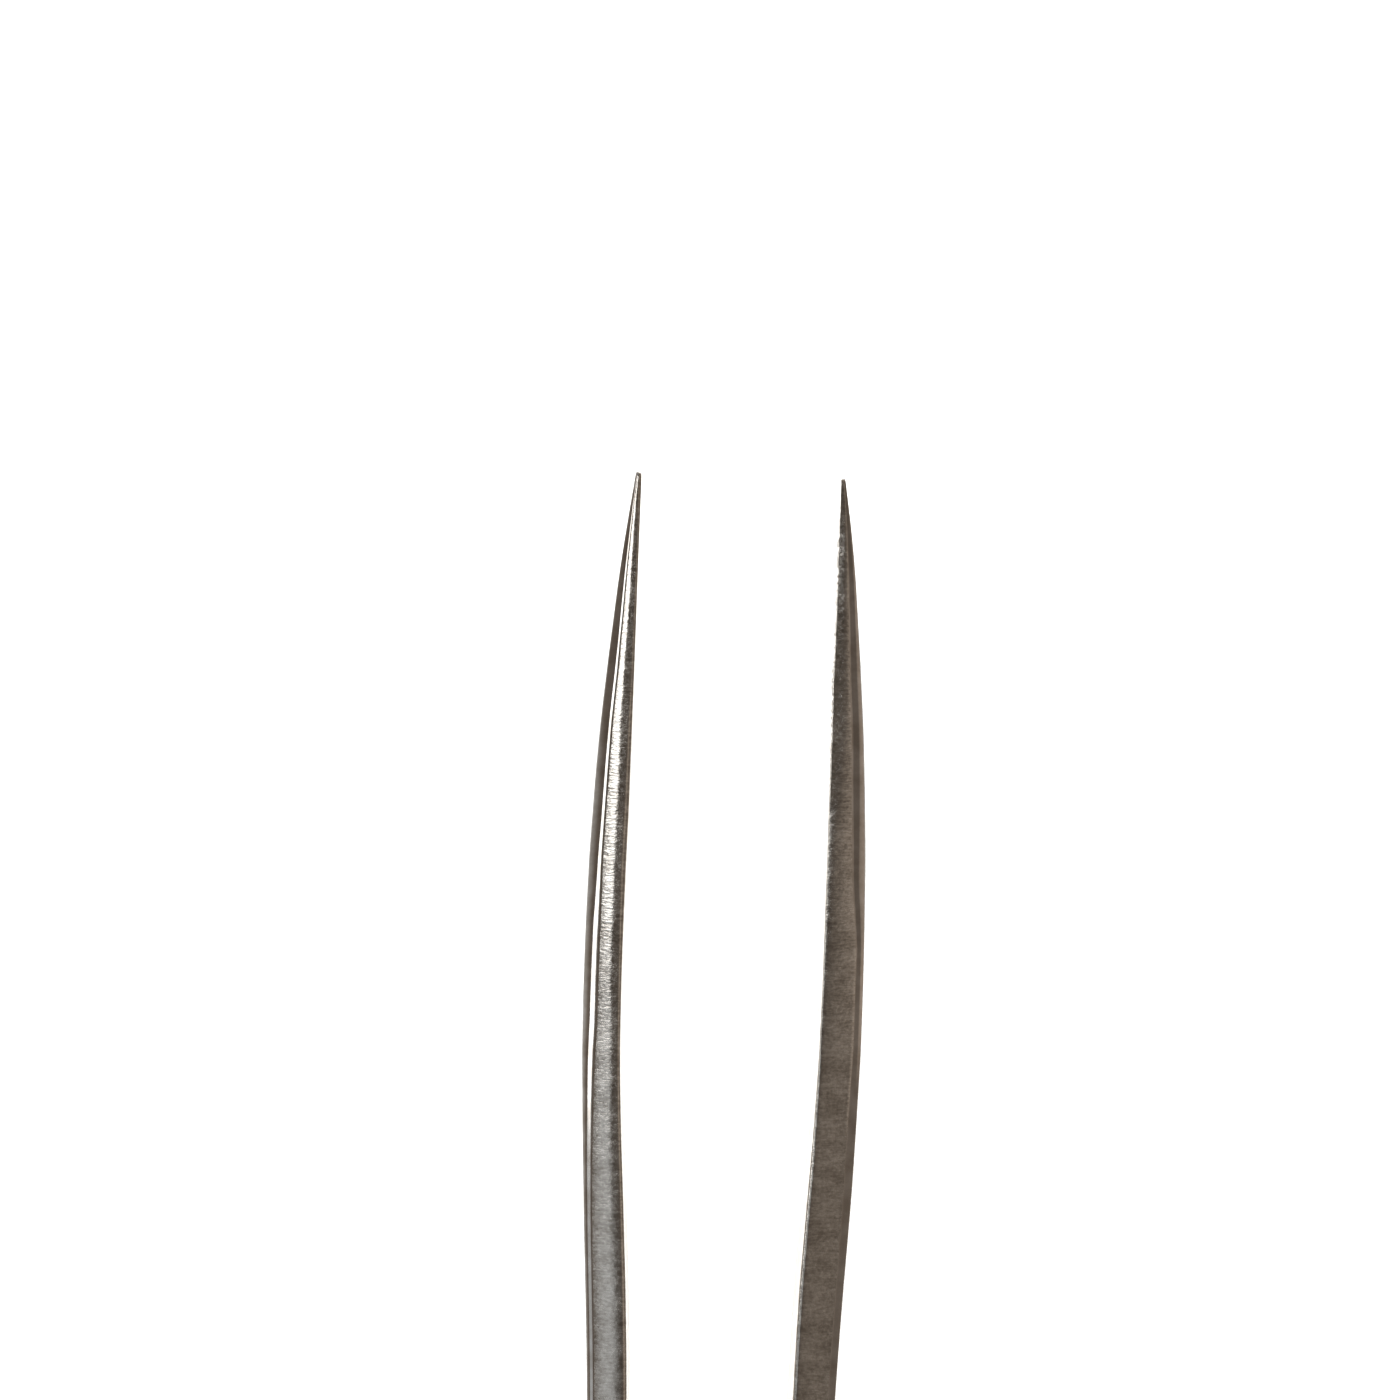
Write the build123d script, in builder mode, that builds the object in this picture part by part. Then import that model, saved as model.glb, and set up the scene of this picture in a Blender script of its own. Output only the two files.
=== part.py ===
"""Long straight aquascaping tweezers: two sprung steel arms welded together at the tail.

The tool lies on the lower edges of its arms. +Y runs from the tail to the points, +X is to
the right and +Z is up, across the width of the strips. The origin is on the surface that the
tool lies on, under the middle of the tool. All sizes are in millimetres, and a distance
called from_point is measured from the points towards the tail.
"""

import os

from build123d import *

os.makedirs("parts", exist_ok=True)

# driving dimensions
length = 270.0  # tail to points
filler_length = 22.0
filler_thickness = 1.0
filler_inset = 0.1  # the filler stands back from the ground edges of the arms
weld_diameter = 4.6
weld_spacing = 9.0
weld_mark_diameter = 5.0  # shallow electrode marks on the outside of the tail
weld_mark_depth = 0.15
tail_corner = 3.6  # radius of the tail's two corners, seen from the side
tip_corner = 0.4
grip_start = 116.0  # first finger groove, as a distance from the points
groove_count = 27
groove_pitch = 2.2
groove_radius = 0.8
groove_depth = 0.25

# Side view: distance from the points and width of the strip there. The width is greatest
# over the grip, and this stretch is what the tool lies on.
side_stations = [
    (0.0, 0.9),
    (32.0, 2.9),
    (54.0, 5.4),
    (90.0, 8.3),
    (130.0, 10.0),
    (235.0, 10.0),
    (length, 8.4),
]

# Plan view of the right arm: distance from the points, distance from the middle plane to
# the inner face, thickness of the strip, and width and height of the bevel along the outer
# edges. The inner faces of the jaws are flat and nearly parallel as far as 30 mm; behind
# them each arm bends inwards, runs straight to 190 mm, and eases into the tail. Closed, the
# arms meet only at their points.
plan_stations = [
    (0.0, 5.98, 0.28, 0.10, 0.08),
    (1.5, 5.99, 0.50, 0.18, 0.13),
    (3.0, 6.00, 0.72, 0.28, 0.20),
    (6.0, 6.02, 1.10, 0.44, 0.31),
    (9.0, 6.03, 1.40, 0.56, 0.39),
    (12.0, 6.04, 1.68, 0.66, 0.46),
    (16.0, 6.05, 2.00, 0.78, 0.55),
    (20.0, 6.06, 2.21, 0.85, 0.59),
    (24.0, 6.09, 2.31, 0.85, 0.59),
    (30.0, 6.10, 2.34, 0.76, 0.53),
    (34.0, 6.06, 2.34, 0.68, 0.48),
    (38.0, 5.90, 2.34, 0.60, 0.42),
    (44.0, 5.54, 2.38, 0.52, 0.36),
    (54.0, 5.00, 2.34, 0.46, 0.32),
    (62.0, 4.75, 2.28, 0.42, 0.29),
    (70.0, 4.54, 2.24, 0.40, 0.28),
    (110.0, 3.60, 2.08, 0.40, 0.28),
    (150.0, 2.62, 1.92, 0.40, 0.28),
    (190.0, 1.60, 1.68, 0.38, 0.27),
    (206.0, 1.23, 1.56, 0.36, 0.25),
    (228.0, 0.81, 1.50, 0.34, 0.24),
    (248.0, filler_thickness / 2, 1.50, 0.32, 0.22),
    (length, filler_thickness / 2, 1.50, 0.32, 0.22),
]

# derived places
grip_width = max(width for _, width in side_stations)
mid_height = grip_width / 2
front = length / 2
filler_front = filler_length - length / 2
weld_marks = [
    (filler_front - filler_length / 2 - side * weld_spacing / 2, mid_height) for side in (1, -1)
]
side_plane = Plane(origin=(0, 0, mid_height), x_dir=(0, 1, 0), z_dir=(1, 0, 0))


def at_station(table, from_point, column):
    """One column of a table of stations, at any distance from the points."""
    for near, far in zip(table, table[1:]):
        if from_point <= far[0]:
            share = (from_point - near[0]) / (far[0] - near[0])
            return near[column] + share * (far[column] - near[column])
    return table[-1][column]


def side_outline(inset):
    """The tool seen from the side: narrow points, a full grip and a rounded tail."""
    upper = [(front - from_point, width / 2 - inset) for from_point, width in side_stations]
    with BuildSketch(side_plane) as outline:
        with BuildLine():
            Polyline((front - inset, 0), (front - inset, upper[0][1]), *upper[1:-1],
                     (inset - front, upper[-1][1]), (inset - front, 0))
            mirror(about=Plane.XZ)
        make_face()
        fillet(outline.vertices().group_by(Axis.X)[0], tail_corner)
        fillet(outline.vertices().group_by(Axis.X)[-1], tip_corner - inset)
    return outline.sketch


def arm_section(station):
    """The right arm cut across. Its bevels are drawn on up past the ground edges of the
    strip, which the side outline trims."""
    from_point, inner, thickness, bevel_width, bevel_height = station
    outer = inner + thickness
    outer_height = at_station(side_stations, from_point, 1) / 2 - bevel_height
    inner_height = outer_height + thickness * bevel_height / bevel_width
    with BuildSketch(Plane.XZ.offset(from_point - front)) as section:
        with BuildLine():
            Polyline(
                (inner, mid_height - inner_height),
                (outer, mid_height - outer_height),
                (outer, mid_height + outer_height),
                (inner, mid_height + inner_height),
                close=True,
            )
        make_face()
    return section.sketch


def finger_grooves():
    """Centres of the round grooves across the outside of the grip."""
    for i in range(groove_count):
        from_point = grip_start + i * groove_pitch
        outer = at_station(plan_stations, from_point, 1) + at_station(plan_stations, from_point, 2)
        yield (outer + groove_radius - groove_depth, front - from_point, mid_height)


# Right arm: one strip of steel from tail to point, ground to shape, with bevelled outer edges
mark_radius = (weld_mark_diameter**2 / 4 + weld_mark_depth**2) / (2 * weld_mark_depth)
tail_face = filler_thickness / 2 + plan_stations[-1][2]
with BuildPart() as right_arm:
    loft([arm_section(station) for station in plan_stations], ruled=True)
    extrude(side_outline(0), amount=grip_width, both=True, mode=Mode.INTERSECT)
    with Locations(*finger_grooves()):
        Cylinder(groove_radius, grip_width + 2, mode=Mode.SUBTRACT)
    with Locations(*[(tail_face + mark_radius - weld_mark_depth, y, z) for y, z in weld_marks]):
        Sphere(mark_radius, mode=Mode.SUBTRACT)
right_arm.part.label = "right_arm"

# Left arm: the same strip, mirrored
with BuildPart() as left_arm:
    mirror(right_arm.part, about=Plane.YZ)
left_arm.part.label = "left_arm"

# Tail spacer: the thin filler strip between the tails, pierced for the two welds
with BuildPart() as tail_spacer:
    extrude(side_outline(filler_inset), amount=filler_thickness / 2, both=True)
    with Locations((0, filler_front - filler_length, mid_height)):
        Box(filler_thickness, 2 * filler_length, grip_width, mode=Mode.INTERSECT)
    with Locations(*[Location((0, y, z), (0, 90, 0)) for y, z in weld_marks]):
        Hole(weld_diameter / 2)
tail_spacer.part.label = "tail_spacer"

# Weld nuggets: the steel that fills the filler's two holes and joins both arms to it
with BuildPart() as weld_nuggets:
    with Locations(*[Location((0, y, z), (0, 90, 0)) for y, z in weld_marks]):
        Cylinder(weld_diameter / 2, filler_thickness)
weld_nuggets.part.label = "weld_nuggets"

for piece in (right_arm, left_arm, tail_spacer, weld_nuggets):
    export_step(piece.part, f"parts/{piece.part.label}.step")
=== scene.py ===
import math

import bpy
import numpy as np
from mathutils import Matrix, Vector
from mathutils.noise import noise as noise_value


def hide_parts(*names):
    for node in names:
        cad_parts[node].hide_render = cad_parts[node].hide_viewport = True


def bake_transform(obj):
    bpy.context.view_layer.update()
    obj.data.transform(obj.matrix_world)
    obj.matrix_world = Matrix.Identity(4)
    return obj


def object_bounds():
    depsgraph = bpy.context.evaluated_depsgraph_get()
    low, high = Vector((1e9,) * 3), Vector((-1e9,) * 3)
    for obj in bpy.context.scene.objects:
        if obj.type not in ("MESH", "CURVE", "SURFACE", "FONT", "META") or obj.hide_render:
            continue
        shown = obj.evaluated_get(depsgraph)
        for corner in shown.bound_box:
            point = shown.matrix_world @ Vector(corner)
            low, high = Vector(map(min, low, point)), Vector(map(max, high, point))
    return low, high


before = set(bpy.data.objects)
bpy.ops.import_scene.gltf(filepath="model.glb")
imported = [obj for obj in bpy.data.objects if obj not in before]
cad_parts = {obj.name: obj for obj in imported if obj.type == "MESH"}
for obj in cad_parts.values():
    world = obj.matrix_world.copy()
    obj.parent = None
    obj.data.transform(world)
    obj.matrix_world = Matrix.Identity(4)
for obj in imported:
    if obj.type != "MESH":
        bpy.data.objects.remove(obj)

MM = 0.001
cad_box = [list(corner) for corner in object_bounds()]
low, high = (Vector(corner) for corner in cad_box)
points_y = high.y
mid_z = (low.z + high.z) / 2


# ---------------------------------------------------------------------------
# Tail spacer
# A thin filler strip of rolled stainless steel that lies between the two tails and keeps the
# arms apart. It is pierced twice for the welds.
# ---------------------------------------------------------------------------


def new_material(name):
    """An empty node material, with its Principled shader, ready to be wired."""
    material = bpy.data.materials.new(name)
    material.use_nodes = True
    nodes = material.node_tree.nodes
    nodes.clear()
    shader = nodes.new("ShaderNodeBsdfPrincipled")
    output = nodes.new("ShaderNodeOutputMaterial")
    material.node_tree.links.new(shader.outputs["BSDF"], output.inputs["Surface"])
    return material, shader


def wire(tree, pairs):
    """Links each (output socket, input socket) pair."""
    for output, entry in pairs:
        tree.links.new(output, entry)


def new_group(name, inputs, outputs):
    """A shader node group with named float, vector or colour sockets."""
    group = bpy.data.node_groups.new(name, "ShaderNodeTree")
    for label, kind, default in inputs:
        socket = group.interface.new_socket(label, in_out="INPUT", socket_type=kind)
        socket.default_value = default
    for label, kind in outputs:
        group.interface.new_socket(label, in_out="OUTPUT", socket_type=kind)
    return group, group.nodes.new("NodeGroupInput"), group.nodes.new("NodeGroupOutput")


def math_node(tree, operation, first, second=None, third=None, clamp=False):
    """A math node fed by sockets or plain numbers. Returns its output."""
    node = tree.nodes.new("ShaderNodeMath")
    node.operation = operation
    node.use_clamp = clamp
    for entry, value in zip(node.inputs, (first, second, third)):
        if value is None:
            continue
        if isinstance(value, (int, float)):
            entry.default_value = value
        else:
            tree.links.new(value, entry)
    return node.outputs[0]


def noise(tree, vector, scale, detail=4.0, roughness=0.55):
    """Soft-edged patches that follow no direction, from 0 to 1."""
    node = tree.nodes.new("ShaderNodeTexNoise")
    node.inputs["Scale"].default_value = scale
    node.inputs["Detail"].default_value = detail
    node.inputs["Roughness"].default_value = roughness
    tree.links.new(vector, node.inputs["Vector"])
    return node.outputs["Fac"]


def stretched(tree, vector, factors):
    """The vector times a fixed factor on each axis."""
    node = tree.nodes.new("ShaderNodeVectorMath")
    node.operation = "MULTIPLY"
    node.inputs[1].default_value = factors
    tree.links.new(vector, node.inputs[0])
    return node.outputs[0]


def between(tree, value, low_in, high_in, low_out=0.0, high_out=1.0, smooth=False):
    """Maps a value from one range to another, held at both ends."""
    node = tree.nodes.new("ShaderNodeMapRange")
    node.clamp = True
    if smooth:
        node.interpolation_type = "SMOOTHSTEP"
    for label, number in (
        ("From Min", low_in), ("From Max", high_in), ("To Min", low_out), ("To Max", high_out),
    ):
        node.inputs[label].default_value = number
    tree.links.new(value, node.inputs["Value"])
    return node.outputs[0]


def tint(tree, mask, dark, light):
    """A colour that runs from dark to light as the mask rises."""
    node = tree.nodes.new("ShaderNodeMix")
    node.data_type = "RGBA"
    node.inputs["A"].default_value = (*dark, 1.0)
    node.inputs["B"].default_value = (*light, 1.0)
    tree.links.new(mask, node.inputs["Factor"])
    return node.outputs["Result"]


def bump(tree, height, distance, normal=None):
    """A normal roughened by the height, on top of another normal where one is given."""
    node = tree.nodes.new("ShaderNodeBump")
    node.inputs["Distance"].default_value = distance
    tree.links.new(height, node.inputs["Height"])
    if normal is not None:
        tree.links.new(normal, node.inputs["Normal"])
    return node.outputs["Normal"]


# Fine parallel lines left by grinding or rolling. Place is a position in millimetres, and the
# lines run along the axis on which Stretch is small.
lines_group, entry, exit_ = new_group(
    "grinding_lines",
    [
        ("Place", "NodeSocketVector", (0.0, 0.0, 0.0)),
        ("Stretch", "NodeSocketVector", (0.1, 1.0, 1.0)),
        ("Lines per mm", "NodeSocketFloat", 4.0),
    ],
    [("Height", "NodeSocketFloat"), ("Streaks", "NodeSocketFloat")],
)
scaled = lines_group.nodes.new("ShaderNodeVectorMath")
scaled.operation = "MULTIPLY"
wire(lines_group, [
    (entry.outputs["Place"], scaled.inputs[0]),
    (entry.outputs["Stretch"], scaled.inputs[1]),
])
fine = lines_group.nodes.new("ShaderNodeTexNoise")
fine.inputs["Detail"].default_value = 3.0
coarse = lines_group.nodes.new("ShaderNodeTexNoise")
coarse.inputs["Detail"].default_value = 2.0
coarse_scale = math_node(lines_group, "MULTIPLY", entry.outputs["Lines per mm"], 0.22)
wire(lines_group, [
    (scaled.outputs[0], fine.inputs["Vector"]),
    (scaled.outputs[0], coarse.inputs["Vector"]),
    (entry.outputs["Lines per mm"], fine.inputs["Scale"]),
    (coarse_scale, coarse.inputs["Scale"]),
    (coarse.outputs["Fac"], exit_.inputs["Streaks"]),
])
height = math_node(lines_group, "MULTIPLY", coarse.outputs["Fac"], 0.6)
height = math_node(lines_group, "ADD", height, fine.outputs["Fac"])
lines_group.links.new(height, exit_.inputs["Height"])


def place_lines(tree, place, stretch, per_mm):
    """The grinding lines, placed in a material."""
    node = tree.nodes.new("ShaderNodeGroup")
    node.node_tree = lines_group
    node.inputs["Stretch"].default_value = stretch
    node.inputs["Lines per mm"].default_value = per_mm
    tree.links.new(place, node.inputs["Place"])
    return node.outputs["Height"], node.outputs["Streaks"]


def object_place(tree):
    """A CAD node's own coordinates, in millimetres."""
    node = tree.nodes.new("ShaderNodeTexCoord")
    return stretched(tree, node.outputs["Object"], (1000.0, 1000.0, 1000.0))


def rolled_steel():
    """Plain cold-rolled strip, with faint lines along its length."""
    material, shader = new_material("rolled_steel")
    tree = material.node_tree
    place = object_place(tree)
    height, streaks = place_lines(tree, place, (1.0, 0.08, 1.0), 5.0)
    patches = noise(tree, place, 0.4, detail=3.0)
    wire(tree, [
        (tint(tree, patches, (0.42, 0.40, 0.37), (0.56, 0.54, 0.51)), shader.inputs["Base Color"]),
        (between(tree, streaks, 0.3, 0.7, 0.30, 0.42), shader.inputs["Roughness"]),
        (bump(tree, height, 0.004 * MM), shader.inputs["Normal"]),
    ])
    shader.inputs["Metallic"].default_value = 1.0
    return material


def finish_node(name, material):
    """Gives a CAD node its material."""
    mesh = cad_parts[name].data
    mesh.materials.clear()
    mesh.materials.append(material)


finish_node("tail_spacer", rolled_steel())


# ---------------------------------------------------------------------------
# Weld nuggets
# Two discs of weld metal in the spacer's holes, where the electrodes melted both tails and the
# spacer together. They keep a straw tint from the heat.
# ---------------------------------------------------------------------------


def weld_metal():
    """Cast-looking nugget with a straw heat tint."""
    material, shader = new_material("weld_metal")
    tree = material.node_tree
    place = object_place(tree)
    grain = noise(tree, place, 2.5)
    wire(tree, [
        (tint(tree, grain, (0.34, 0.29, 0.22), (0.50, 0.45, 0.38)), shader.inputs["Base Color"]),
        (between(tree, grain, 0.3, 0.7, 0.36, 0.5), shader.inputs["Roughness"]),
        (bump(tree, grain, 0.02 * MM), shader.inputs["Normal"]),
    ])
    shader.inputs["Metallic"].default_value = 1.0
    return material


finish_node("weld_nuggets", weld_metal())


# ---------------------------------------------------------------------------
# Arms
# Each arm is one strip of stainless steel, pressed to shape and ground: parallel jaws, fine
# points, finger grooves over the grip, and a polished band and a bevel along each outer
# corner. The tail is welded to the spacer, and the arm bends between the tail and the grip.
# ---------------------------------------------------------------------------

tool_length = 270.0
filler_front = 248.0  # where the spacer ends, from the points
side_stations = [  # distance from the points, width of the strip
    (0.0, 0.9),
    (32.0, 2.9),
    (54.0, 5.4),
    (90.0, 8.3),
    (130.0, 10.0),
    (235.0, 10.0),
    (270.0, 8.4),
]
plan_stations = [  # distance from the points, inner face, thickness, bevel width
    (0.0, 5.98, 0.28, 0.10),
    (1.5, 5.99, 0.50, 0.18),
    (3.0, 6.00, 0.72, 0.28),
    (6.0, 6.02, 1.10, 0.44),
    (9.0, 6.03, 1.40, 0.56),
    (12.0, 6.04, 1.68, 0.66),
    (16.0, 6.05, 2.00, 0.78),
    (20.0, 6.06, 2.21, 0.85),
    (24.0, 6.09, 2.31, 0.85),
    (30.0, 6.10, 2.34, 0.76),
    (34.0, 6.06, 2.34, 0.68),
    (38.0, 5.90, 2.34, 0.60),
    (44.0, 5.54, 2.38, 0.52),
    (54.0, 5.00, 2.34, 0.46),
    (62.0, 4.75, 2.28, 0.42),
    (70.0, 4.54, 2.24, 0.40),
    (110.0, 3.60, 2.08, 0.40),
    (150.0, 2.62, 1.92, 0.40),
    (190.0, 1.60, 1.68, 0.38),
    (206.0, 1.23, 1.56, 0.36),
    (228.0, 0.81, 1.50, 0.34),
    (248.0, 0.50, 1.50, 0.32),
    (270.0, 0.50, 1.50, 0.32),
]
tail_corner = 3.6
tip_corner = 0.4
grip_start, groove_count, groove_pitch = 116.0, 27, 2.2
groove_radius, groove_depth = 0.8, 0.25
weld_marks = (254.5, 263.5)  # the dents that the electrodes leave, from the points
weld_mark_radius, weld_mark_depth = 2.5, 0.15


def smooth_through(stations, column):
    """A monotone smooth curve through one column of the stations."""
    x = np.array([row[0] for row in stations])
    y = np.array([row[column] for row in stations])
    step = np.diff(x)
    slope = np.diff(y) / step
    tangent = np.zeros(len(x))
    tangent[0], tangent[-1] = slope[0], slope[-1]
    for i in range(1, len(x) - 1):
        if slope[i - 1] * slope[i] > 0:
            before, after = 2 * step[i] + step[i - 1], step[i] + 2 * step[i - 1]
            tangent[i] = (before + after) / (before / slope[i - 1] + after / slope[i])

    def value(at):
        i = int(np.clip(np.searchsorted(x, at, side="right") - 1, 0, len(step) - 1))
        t = (at - x[i]) / step[i]
        return float(
            y[i] * (1 + 2 * t) * (1 - t) ** 2
            + tangent[i] * step[i] * t * (1 - t) ** 2
            + y[i + 1] * t * t * (3 - 2 * t)
            + tangent[i + 1] * step[i] * t * t * (t - 1)
        )

    return value


inner_at = smooth_through(plan_stations, 1)
thickness_at = smooth_through(plan_stations, 2)
bevel_at = smooth_through(plan_stations, 3)
width_at = smooth_through(side_stations, 1)


def half_width(from_point):
    """Half of the strip's width, with the point and the tail rounded in side view."""
    half = width_at(from_point) / 2
    for distance, corner in ((from_point, tip_corner), (tool_length - from_point, tail_corner)):
        if distance < corner:
            half -= corner - math.sqrt(corner**2 - (corner - distance) ** 2)
    return half


def groove_cut(from_point):
    """How deep the finger grooves are at this place."""
    cut = 0.0
    for i in range(groove_count):
        offset = abs(from_point - grip_start - i * groove_pitch)
        if offset < groove_radius:
            reach = math.sqrt(groove_radius**2 - offset**2)
            cut = max(cut, reach - groove_radius + groove_depth)
    return cut


# The jaws are finished by hand, so the two arms differ by up to a third of a millimetre. Most
# rows are stations (distance from the points, value), in millimetres, degrees or shares:
#   closer, thicker         how much nearer to the middle the inner face is, and how much thicker
#   wider_bevel             the width of the bevel, as a share of the usual one
#   corner, corner_size     the worn inner corner: (share across, tilt), and its size
#   flat_tilt, crown        the flat of the jaws: its tilt, and the share across where it ends
#   crown_tilts             the turn beyond that: (share past the crown line, tilt)
#   blend, crowned          how much of the rear section there is, and its (share, tilt) list
#   lip, lip_end, band_end  the polished band: its first tilt, and shares of the bevel's width
#   outer_tilt              the tilt of the bevel itself
# The last four are single values: how blunt and how rounded the point is, how far the burrs
# stand out, and the distance from the points at which the ridge becomes a sharp one.
left_hand = {
    "closer": [(0, 0.03), (12, 0.06), (20, 0.05), (27, 0.0), (36, 0.02), (48, 0.08), (70, 0.0)],
    "thicker": [(12, 0.0), (24, -0.05), (36, -0.05), (48, 0.04), (70, 0.0)],
    "wider_bevel": [(0, 1.0), (4, 1.1), (12, 1.13), (15, 1.03), (20, 1.0), (24, 1.03), (27, 1.14),
                    (33, 1.31), (36, 1.19), (42, 1.04), (46, 1.0)],
    "corner": [(0, -84), (0.01, -50), (0.03, -40), (0.06, -28), (0.11, -20), (0.16, -13),
               (0.20, -6)],
    "corner_size": [(24, 1.0), (34, 0.5)],
    "flat_tilt": [(0, -2.5)],
    "crown": [(4, 0.70), (7, 0.63), (12, 0.66), (15, 0.62), (18, 0.55), (21, 0.53), (25, 0.49),
              (30, 0.50), (33, 0.42), (36, 0.36), (39, 0.42), (42, 0.42), (46, 0.36)],
    "crown_tilts": [(0.12, 5.5), (0.15, 5.7)],
    "blend": [(28, 0), (50, 1)],
    "crowned": [(0.0, -0.8), (0.08, 0.3), (0.37, 5.0), (0.67, 7.5), (0.83, 9.5)],
    "lip": [(0, 10)],
    "lip_end": [(24, 0.15), (28, 0.22)],
    "band_end": [(0, 0.36), (10, 0.31), (15, 0.34), (21, 0.35), (24, 0.40), (27, 0.52), (33, 0.55),
                 (36, 0.58), (60, 0.60)],
    "outer_tilt": [(14, 35), (19, 41)],
    "blunter": 0.25,
    "roundness": 0.75,
    "burrs": 0.0,
    "sharp_ridge": tool_length,
}
right_hand = {
    "closer": [(0, 0.0), (3, 0.01), (6, 0.04), (12, 0.13), (18, 0.17), (24, 0.23), (30, 0.28),
               (36, 0.33), (48, 0.33), (54, 0.19), (70, 0.15)],
    "thicker": [(0, 0.0), (6, -0.02), (12, 0.01), (18, 0.0), (24, 0.07), (30, 0.13), (36, 0.21),
                (42, 0.30), (48, 0.31), (54, 0.22), (75, 0.06)],
    "wider_bevel": [(0, 1.0), (12, 1.1), (15, 1.0), (20, 1.0), (24, 0.98), (28, 0.62), (34, 0.72),
                    (40, 1.0)],
    "corner": [(0, -84), (0.02, -40), (0.035, -6)],
    "corner_size": [(33, 1.0), (41, 2.4)],
    "flat_tilt": [(0, 6.0), (1, 4.5), (2.4, 2.0), (4, -3.2), (5, -3.4), (8, -1.5), (11, 0.0),
                  (19, 0.4), (20, -3.6), (29, -5.0), (33, -2.0)],
    "crown": [(4, 0.70), (7, 0.63), (12, 0.66), (15, 0.62), (18, 0.48), (22, 0.24), (36, 0.20)],
    "crown_tilts": [(0.12, 4.0), (0.15, 4.6)],
    "blend": [(26, 0), (36, 1)],
    "crowned": [(0.0, 1.5), (0.1, 4.6), (0.45, 5.2), (0.75, 5.0), (0.875, 4.6)],
    "lip": [(24, 10), (30, 17)],
    "lip_end": [(0, 0.15)],
    "band_end": [(0, 0.75), (6, 0.65), (10, 0.58), (18, 0.54), (21, 0.48), (24, 0.42), (27, 0.50),
                 (33, 0.51), (60, 0.60)],
    "outer_tilt": [(30, 40), (38, 27)],
    "blunter": -0.10,
    "roundness": 0.15,
    "burrs": 0.08,
    "sharp_ridge": 27.0,
}


def station_value(stations, from_point):
    """The value at this place, in straight lines between the stations."""
    return float(np.interp(from_point, *zip(*stations)))


# The upper edge in section is a list of (share of the way across, tilt of the surface in
# degrees, outwards positive). The ground edge runs from the inner corner to the ridge, and the
# polished band and the bevel lie outside the ridge.
turn_share = 0.03  # in which one part of the section turns into the next
flat_end_tilt, crown_tilt, ridge_tilt = -1.4, 2.0, 8.5  # in the jaws
lip_tilt, band_tilts, bevel_tilt = 15, (18.5, 24), 32  # across the band and up to the bevel
outer_corner = [(0.97, 60), (1.0, 84)]
point_tilt = 70  # of both sides of a fully rounded point
point_fade = 1.5  # behind the point, in which its hand finish fades out


def edge_tilts(from_point, ridge, bevel, hand):
    """The tilts across the upper edge at this place: distances across and degrees."""
    size, flat_tilt, crown, lip, lip_end, band_end, outer_tilt = (
        station_value(hand[label], from_point)
        for label in ("corner_size", "flat_tilt", "crown", "lip", "lip_end", "band_end", "outer_tilt")
    )
    corner = [(share * size, tilt) for share, tilt in hand["corner"]]
    start = corner[-1][0] + turn_share
    flat_end = max(crown - 0.08, start + turn_share)
    jaws = [(start, flat_tilt), (flat_end, max(flat_tilt, flat_end_tilt)), (crown + 0.02, crown_tilt)]
    jaws += [(crown + step, tilt) for step, tilt in hand["crown_tilts"]] + [(0.96, ridge_tilt)]
    back = [(start + step, tilt) for step, tilt in hand["crowned"]]
    blend = station_value(hand["blend"], from_point)
    shares = sorted({share for share, _ in jaws + back})
    edge = corner + [
        (share, station_value(jaws, share) * (1 - blend) + station_value(back, share) * blend)
        for share in shares
    ]
    outside = [(0.02, lip), (lip_end - 0.05, max(lip, lip_tilt)), (lip_end, max(lip, band_tilts[0]))]
    outside += [(band_end - 0.02, band_tilts[1]), (band_end + 0.04, min(outer_tilt, bevel_tilt))]
    outside += [(0.92, outer_tilt)] + outer_corner
    table = [(ridge * share, tilt) for share, tilt in edge]
    table += [(ridge + bevel * share, tilt) for share, tilt in outside]
    at, tilts = np.array(table).T
    rounding = hand["roundness"] * math.exp(-from_point / point_fade)
    return at, tilts * (1 - rounding) + rounding * point_tilt * (2 * at / at[-1] - 1)


edge_steps, bevel_steps, corner_steps = 24, 16, 4  # how many faces each part of the edge has
inner_steps, outer_steps = 4, 12  # and each half of the two broad faces
inner_turn, outer_turn = 0.05, 0.1  # shares of the edge and the bevel with the corner steps


def edge_profile(from_point, thickness, bevel, hand):
    """Places across the upper edge: (distance from the inner face, drop below the crown)."""
    ridge = thickness - bevel
    at, tilts = edge_tilts(from_point, ridge, bevel, hand)
    turn = [math.pi / 2 * i / corner_steps for i in range(corner_steps + 1)]
    start, stop = inner_turn * ridge, thickness - outer_turn * bevel
    across = [start * (1 - math.cos(angle)) for angle in turn]
    across += [start + (ridge - start) * (i + 1) / edge_steps for i in range(edge_steps)]
    across += [ridge + (stop - ridge) * (i + 1) / bevel_steps for i in range(bevel_steps)]
    across += [stop + outer_turn * bevel * math.sin(angle) for angle in turn[1:]]
    drops = [0.0]
    for near, far in zip(across, across[1:]):
        tilt = math.radians(np.interp((near + far) / 2, at, tilts))
        drops.append(drops[-1] + math.tan(tilt) * (far - near))
    top = min(drops)
    return [(x, drop - top) for x, drop in zip(across, drops)]


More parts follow.
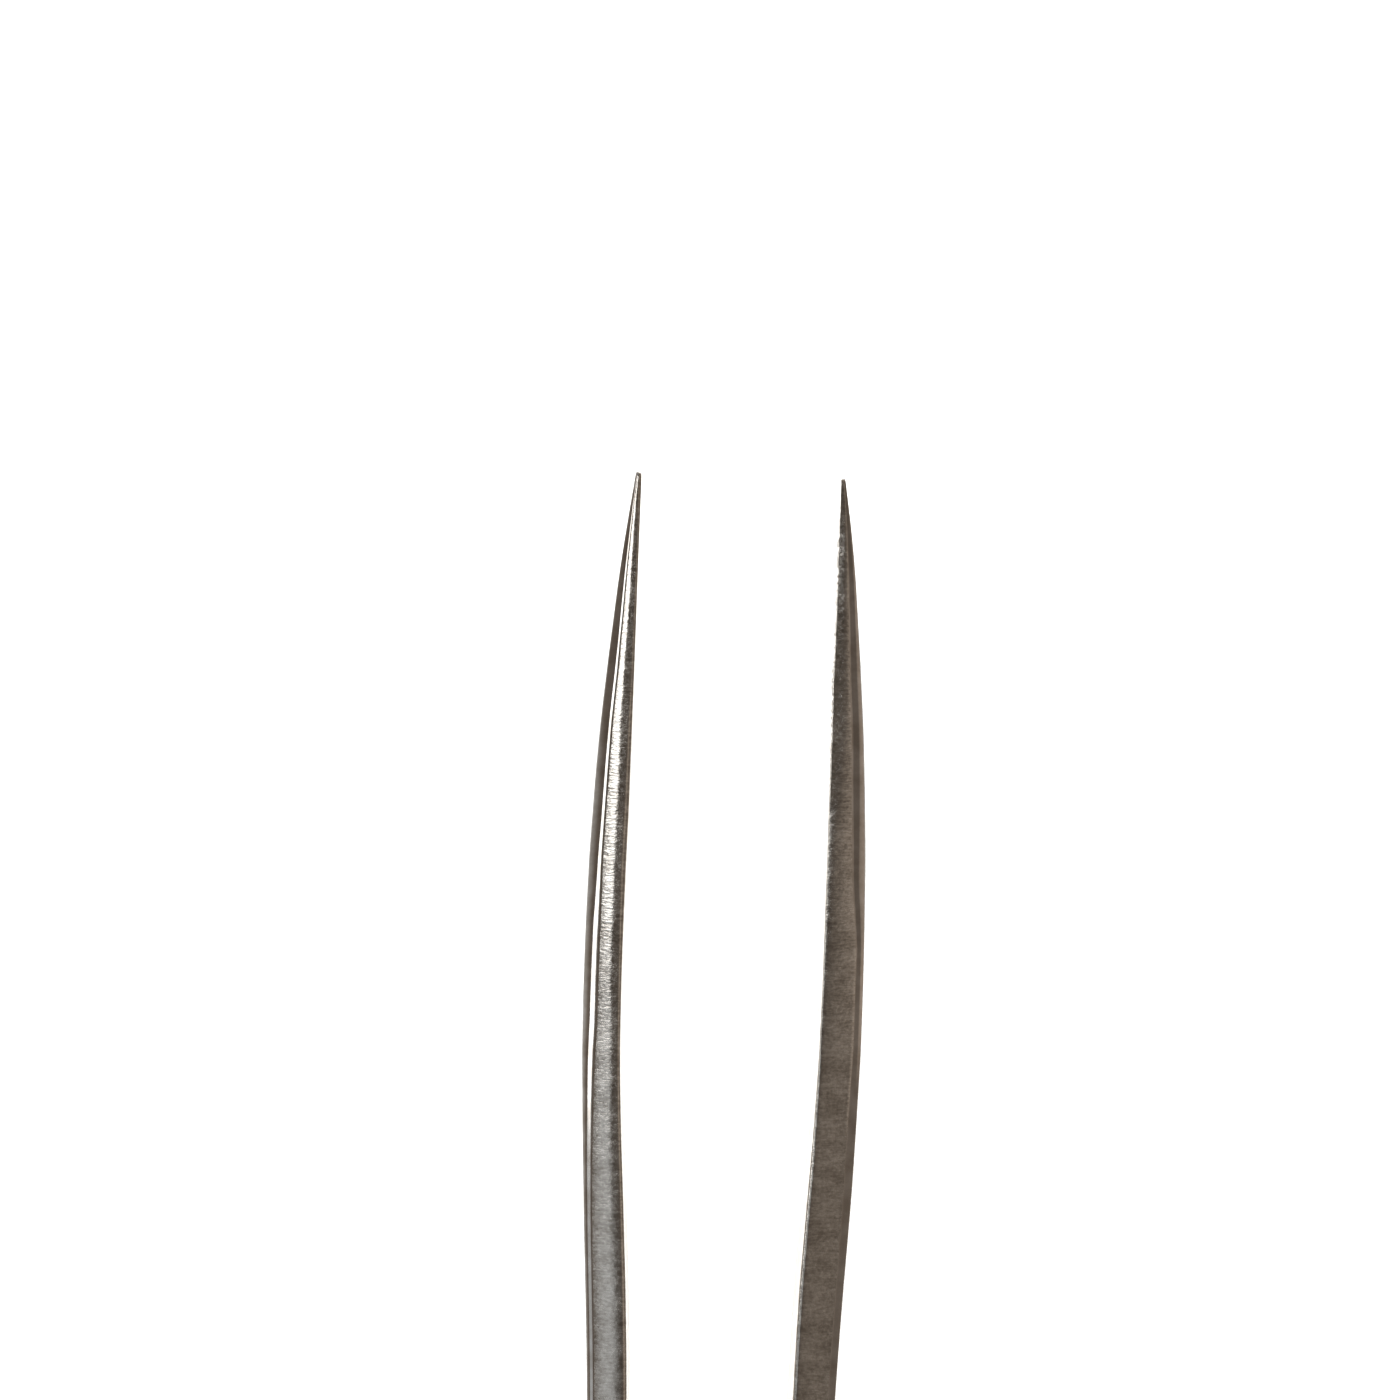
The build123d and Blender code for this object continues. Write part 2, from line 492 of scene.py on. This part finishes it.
def ring_places():
    """Distances from the points at which the strip has a ring of vertices."""
    grip_end = grip_start + (groove_count - 1) * groove_pitch
    stretches = [  # up to here, spacing: closer for the point, the burrs, the grooves and the welds
        (0.4, 0.04), (2.0, 0.1), (20.0, 0.09), (54.0, 0.5), (grip_start - 2, 1.0),
        (grip_end + 2, 0.11), (filler_front - 4, 1.2), (tool_length - 4, 0.25),
        (tool_length - 0.5, 0.125), (tool_length, 0.05),
    ]
    places = [0.0]
    for end, spacing in stretches:
        count = max(1, round((end - places[-1]) / spacing))
        start = places[-1]
        places += [start + (end - start) * (i + 1) / count for i in range(count)]
    return places


def weld_dish(from_point, z):
    """How deep the electrode marks are at this place on the outside of the tail."""
    cut = 0.0
    for mark in weld_marks:
        reach = math.hypot(from_point - mark, z) / weld_mark_radius
        if reach < 1:
            cut = max(cut, weld_mark_depth * (1 - reach**2))
    return cut


burr_stretch = [(1.5, 0), (3.5, 1), (13, 1), (20, 0)]  # distance from the points, share
burrs_per_mm, burr_contrast = 5.0, 1.6
burr_width = 0.05  # how far into the edge a burr reaches


def burr_share(from_point):
    """How far the ragged grinding burr on the inner edge stands out here, from 0 to 1."""
    ragged = noise_value(Vector((from_point * burrs_per_mm, 0.5, 0.5)))
    return station_value(burr_stretch, from_point) * min(max(0.5 + burr_contrast * ragged, 0.0), 1.0)


tip_round = 0.15  # how far the very end is rounded in plan view
tip_share = 0.35  # how much of the thickness is left there
deepest_share = 0.85  # of the half width that the bevel may take


def ring(from_point, hand):
    """One cut through the right arm: (x, z) places all the way round, and how many on the edge."""
    thickness = thickness_at(from_point) + station_value(hand["thicker"], from_point)
    thickness *= 1 + hand["blunter"] * math.exp(-from_point / point_fade)
    inner = inner_at(from_point) - station_value(hand["closer"], from_point)
    bevel = bevel_at(from_point) * station_value(hand["wider_bevel"], from_point)
    half = half_width(from_point)
    if from_point < tip_round:
        share = math.sqrt(1 - (1 - from_point / tip_round) ** 2)
        kept = thickness * (tip_share + (1 - tip_share) * share)
        inner, bevel, thickness = inner + (thickness - kept) / 2, bevel * kept / thickness, kept
    profile = edge_profile(from_point, thickness, bevel, hand)
    deepest = max(drop for _, drop in profile)
    squeeze = min(1.0, deepest_share * half / deepest)
    edge = [(x, half - drop * squeeze) for x, drop in profile]
    upper = [(0.0, edge[0][1] * i / inner_steps) for i in range(inner_steps)]
    burr = hand["burrs"] * burr_share(from_point)
    upper += [(x - burr * math.exp(-x / burr_width), z) for x, z in edge]
    upper += [(thickness, edge[-1][1] * (1 - i / outer_steps)) for i in range(1, outer_steps)]
    places = upper + [(thickness, 0.0)] + [(x, -z) for x, z in upper[:0:-1]]
    groove = groove_cut(from_point)
    cut = [
        (min(x, thickness - groove), z) if x < thickness - 1e-6
        else (x - max(groove, weld_dish(from_point, z)), z)
        for x, z in places
    ]
    return [(inner + x, z) for x, z in cut], len(edge)


def sharpen_ridge(mesh, count, ridge, first_ring):
    """Makes the ridge a sharp one behind this ring, on the upper and the lower edge."""
    ends = np.empty(2 * len(mesh.edges), np.int32)
    mesh.edges.foreach_get("vertices", ends)
    rings, columns = np.divmod(ends.reshape(-1, 2), count)
    along = columns[:, 0] == columns[:, 1]
    on_ridge = np.isin(columns[:, 0], (ridge, count - ridge))
    mesh.edges.foreach_set("use_edge_sharp", along & on_ridge & (rings.min(axis=1) >= first_ring))


def arm_mesh(name, side, hand):
    """The whole strip as one closed mesh, from the point to the tail. Side is -1 on the left.

    Each face is of one kind: 0 on the ground edge, 1 on the band and the bevel, 2 on a broad face.
    """
    stations = ring_places()
    vertices, places, faces, kinds = [], [], [], []
    for from_point in stations:
        around, edge_count = ring(from_point, hand)
        for x, z in around:
            vertices.append((side * x * MM, points_y - from_point * MM, mid_z + z * MM))
            places.append((x, from_point, z))
    count = len(around)
    ridge, edge_last = inner_steps + corner_steps + edge_steps, inner_steps + edge_count - 1
    for r in range(len(stations) - 1):
        for i in range(count):
            j = (i + 1) % count
            quad = (r * count + i, r * count + j, (r + 1) * count + j, (r + 1) * count + i)
            faces.append(quad if side < 0 else quad[::-1])
            place = min(i, count - 1 - i)
            kinds.append(0 if inner_steps <= place < ridge else 1 if ridge <= place < edge_last else 2)
    last = (len(stations) - 1) * count
    for first in (0, last):
        cap = list(range(first, first + count))
        outward = (first == 0) == (side > 0)
        faces.append(cap if outward else cap[::-1])
        kinds.append(1)
    mesh = bpy.data.meshes.new(name)
    mesh.from_pydata(vertices, [], faces)
    mesh.polygons.foreach_set("material_index", kinds)
    mesh.polygons.foreach_set("use_smooth", [True] * (len(faces) - 2) + [False] * 2)
    sharpen_ridge(mesh, count, ridge, np.searchsorted(stations, hand["sharp_ridge"]))
    place = mesh.attributes.new("strip_place", "FLOAT_VECTOR", "POINT")
    place.data.foreach_set("vector", np.array(places, np.float32).ravel())
    mesh.update()
    arm = bpy.data.objects.new(name, mesh)
    bpy.context.scene.collection.objects.link(arm)
    return arm


def strip_place(tree):
    """The place on the strip at rest in millimetres: across, from the point, up."""
    node = tree.nodes.new("ShaderNodeAttribute")
    node.attribute_name = "strip_place"
    return node.outputs["Vector"]


def ground_edge():
    """Satin steel, ground across the edge: jagged scratches in the jaws, mottled further back."""
    material, shader = new_material("ground_edge")
    tree = material.node_tree
    place = strip_place(tree)
    parts = tree.nodes.new("ShaderNodeSeparateXYZ")
    tree.links.new(place, parts.inputs[0])
    depth = between(tree, parts.outputs["Y"], 22, 36, 1.25, 0.50)  # of the scratches, from the point
    height, streaks = place_lines(tree, place, (0.28, 1.0, 0.28), 8.0)
    grain = noise(tree, place, 5.0, detail=3.0)
    patches = noise(tree, stretched(tree, place, (0.7, 1.0, 0.7)), 1.1, detail=3.0)
    spots = noise(tree, stretched(tree, place, (0.4, 1.0, 0.4)), 2.2, detail=1.0)
    nicks = between(tree, spots, 0.70, 0.76)
    shade = math_node(tree, "MULTIPLY", grain, 0.3)
    shade = math_node(tree, "MULTIPLY_ADD", patches, 0.35, shade)
    shade = math_node(tree, "MULTIPLY_ADD", height, 0.32, shade)
    rough = math_node(tree, "MULTIPLY_ADD", streaks, 0.5, math_node(tree, "MULTIPLY", grain, 0.5))
    lines = bump(tree, math_node(tree, "MULTIPLY", height, depth), 0.013 * MM)
    dents = math_node(tree, "MULTIPLY_ADD", nicks, -0.8, grain)
    wire(tree, [
        (tint(tree, between(tree, shade, 0.45, 0.69), (0.42, 0.385, 0.345), (0.74, 0.71, 0.665)),
         shader.inputs["Base Color"]),
        (between(tree, rough, 0.38, 0.62, 0.11, 0.21), shader.inputs["Roughness"]),
        (bump(tree, dents, 0.004 * MM, lines), shader.inputs["Normal"]),
    ])
    shader.inputs["Metallic"].default_value = 1.0
    return material


def polished_bevel():
    """The narrow band and the bevel outside it, smoother than the ground edge."""
    material, shader = new_material("polished_bevel")
    tree = material.node_tree
    place = strip_place(tree)
    height, streaks = place_lines(tree, place, (1.0, 0.1, 1.0), 3.0)
    patches = noise(tree, place, 0.8, detail=3.0)
    wire(tree, [
        (tint(tree, between(tree, patches, 0.35, 0.65), (0.46, 0.42, 0.38), (0.60, 0.57, 0.54)),
         shader.inputs["Base Color"]),
        (between(tree, streaks, 0.3, 0.7, 0.09, 0.14), shader.inputs["Roughness"]),
        (bump(tree, height, 0.002 * MM), shader.inputs["Normal"]),
    ])
    shader.inputs["Metallic"].default_value = 1.0
    return material


def satin_face():
    """The broad faces, brushed along the strip."""
    material, shader = new_material("satin_face")
    tree = material.node_tree
    place = strip_place(tree)
    height, streaks = place_lines(tree, place, (1.0, 0.04, 1.0), 6.0)
    patches = noise(tree, place, 0.3, detail=3.0)
    wire(tree, [
        (tint(tree, between(tree, patches, 0.35, 0.65), (0.54, 0.51, 0.48), (0.64, 0.62, 0.59)),
         shader.inputs["Base Color"]),
        (between(tree, streaks, 0.3, 0.7, 0.24, 0.36), shader.inputs["Roughness"]),
        (bump(tree, height, 0.004 * MM), shader.inputs["Normal"]),
    ])
    shader.inputs["Metallic"].default_value = 1.0
    return material


arm_finishes = [ground_edge(), polished_bevel(), satin_face()]
for node, side, hand in (("left_arm", -1, left_hand), ("right_arm", 1, right_hand)):
    arm = arm_mesh(node + "_strip", side, hand)
    for finish in arm_finishes:
        arm.data.materials.append(finish)
    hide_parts(node)
    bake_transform(arm)


# ---------------------------------------------------------------------------
# Studio
# A pale floor under the tool, a soft box overhead to the left, a long strip light lower on
# the left, and a camera straight above the jaws.
# ---------------------------------------------------------------------------

view_distance = 0.125  # from the camera to the middle of the strips
view_width = 0.084  # what the picture takes in at that distance
view_centre = Vector((-0.00201, points_y - 0.01359, mid_z))
view_roll = math.radians(1.95)

camera_data = bpy.data.cameras.new("camera")
camera_data.sensor_width = 36.0
camera_data.lens = camera_data.sensor_width * view_distance / view_width
camera = bpy.data.objects.new("camera", camera_data)
camera.location = view_centre + Vector((0, 0, view_distance))
camera.rotation_euler = (0, 0, view_roll)
bpy.context.scene.collection.objects.link(camera)
bpy.context.scene.camera = camera
camera_data.clip_start, camera_data.clip_end = 0.001, 50.0


def floor_plane():
    """A pale floor that the tool lies on. In the steel it shows darker, except under the tool."""
    reach = 0.85
    under_tool = (0.006, 0.010)  # from the middle plane, where the darker reflection starts and is full
    mesh = bpy.data.meshes.new("floor")
    corners = [(-reach, -reach), (reach, -reach), (reach, reach), (-reach, reach)]
    mesh.from_pydata([(x, y, low.z) for x, y in corners], [], [(0, 1, 2, 3)])
    material, shader = new_material("pale_floor")
    tree = material.node_tree
    place = tree.nodes.new("ShaderNodeNewGeometry")
    parts = tree.nodes.new("ShaderNodeSeparateXYZ")
    tree.links.new(place.outputs["Position"], parts.inputs[0])
    aside = math_node(tree, "ABSOLUTE", parts.outputs["X"])
    outside = between(tree, aside, *under_tool)
    rays = tree.nodes.new("ShaderNodeLightPath")
    reflected = math_node(tree, "MULTIPLY", outside, rays.outputs["Is Glossy Ray"])
    colour = tint(tree, reflected, (0.86, 0.86, 0.85), (0.26, 0.26, 0.26))
    tree.links.new(colour, shader.inputs["Base Color"])
    shader.inputs["Roughness"].default_value = 0.9
    shader.inputs["Specular IOR Level"].default_value = 0.1
    mesh.materials.append(material)
    floor = bpy.data.objects.new("floor", mesh)
    bpy.context.scene.collection.objects.link(floor)


def soft_light(name, place, target, size, power, glossy=True):
    """A rectangular area light that faces its target."""
    data = bpy.data.lights.new(name, "AREA")
    data.shape = "RECTANGLE"
    data.size, data.size_y = size
    data.energy = power
    light = bpy.data.objects.new(name, data)
    light.location = place
    light.rotation_euler = (Vector(target) - Vector(place)).to_track_quat("-Z", "Y").to_euler()
    light.visible_glossy = glossy
    light.visible_camera = False
    bpy.context.scene.collection.objects.link(light)


floor_plane()
jaws = Vector((0, points_y - 0.02, mid_z))
overhead = jaws + Vector((-0.146, 0.172, 0.6))
soft_light("soft_box", overhead, overhead - Vector((0, 0, 1)), (0.146, 0.356), 0.47)
side_strip = jaws + Vector((-0.52, 0.245, 0.52))
soft_light("strip_light", side_strip, jaws + Vector((0, 0.245, 0)), (0.69, 0.14), 0.85)
fill = Vector((0, 0, 1.5))
soft_light("floor_fill", fill, (0, 0, 0), (2.0, 2.0), 75.0, glossy=False)

# What the steel reflects, by direction: degrees to the left of straight up, level, colour.
taupe = (1.0, 0.84, 0.71)
grey = (1.0, 1.04, 1.07)
cream = (1.0, 0.96, 0.92)
white = (1.0, 1.0, 1.0)
sky_bands = [
    (-90, 0.62, taupe), (-73, 0.46, taupe), (-64, 0.215, taupe), (-39, 0.21, taupe),
    (-34, 0.40, taupe), (-20, 0.40, taupe), (-15.5, 0.19, taupe), (-11, 0.175, taupe),
    (-5, 0.125, taupe), (3, 0.085, taupe), (10, 0.56, grey), (16, 0.58, grey),
    (22, 0.17, taupe), (33, 0.15, taupe), (38, 0.58, grey), (50, 0.58, grey),
    (55, 0.18, taupe), (66, 0.18, taupe), (72, 0.23, taupe), (81, 0.50, cream), (90, 0.58, white),
]


def studio_sky():
    """Bands along the length of the tool for the steel to reflect, and plain white to look at.

    They are dimmer from straight up towards the points, and slightly dimmer far back to the tail.
    """
    world = bpy.data.worlds.new("studio")
    world.use_nodes = True
    tree = world.node_tree
    tree.nodes.clear()
    coordinates = tree.nodes.new("ShaderNodeTexCoord")
    parts = tree.nodes.new("ShaderNodeSeparateXYZ")
    tree.links.new(coordinates.outputs["Generated"], parts.inputs[0])
    leftwards = math_node(tree, "MULTIPLY", parts.outputs["X"], -1.0)
    angle = math_node(tree, "ARCTAN2", leftwards, parts.outputs["Z"])
    turn = math_node(tree, "MULTIPLY_ADD", angle, 1 / math.pi, 0.5, clamp=True)
    bands = tree.nodes.new("ShaderNodeValToRGB")
    stops = bands.color_ramp.elements
    while len(stops) < len(sky_bands):
        stops.new(1.0)
    for stop, (degrees, level, colour) in zip(stops, sky_bands):
        stop.position = degrees / 180 + 0.5
        stop.color = (*(level * channel for channel in colour), 1.0)
    ahead = between(tree, parts.outputs["Y"], -0.07, -0.02, 1.0, 0.80, smooth=True)
    behind = between(tree, parts.outputs["Y"], -0.22, -0.12, 0.94, 1.0, smooth=True)
    level = math_node(tree, "MULTIPLY", ahead, behind)
    dimmed = tree.nodes.new("ShaderNodeVectorMath")
    dimmed.operation = "SCALE"
    rays = tree.nodes.new("ShaderNodeLightPath")
    seen = tree.nodes.new("ShaderNodeMix")
    seen.data_type = "RGBA"
    seen.inputs["B"].default_value = (*white, 1.0)
    background = tree.nodes.new("ShaderNodeBackground")
    output = tree.nodes.new("ShaderNodeOutputWorld")
    wire(tree, [
        (turn, bands.inputs["Fac"]),
        (rays.outputs["Is Camera Ray"], seen.inputs["Factor"]),
        (bands.outputs["Color"], dimmed.inputs[0]),
        (level, dimmed.inputs["Scale"]),
        (dimmed.outputs[0], seen.inputs["A"]),
        (seen.outputs["Result"], background.inputs["Color"]),
        (background.outputs["Background"], output.inputs["Surface"]),
    ])
    bpy.context.scene.world = world


studio_sky()
bpy.context.scene.view_settings.view_transform = "Standard"
bpy.context.scene.view_settings.look = "None"
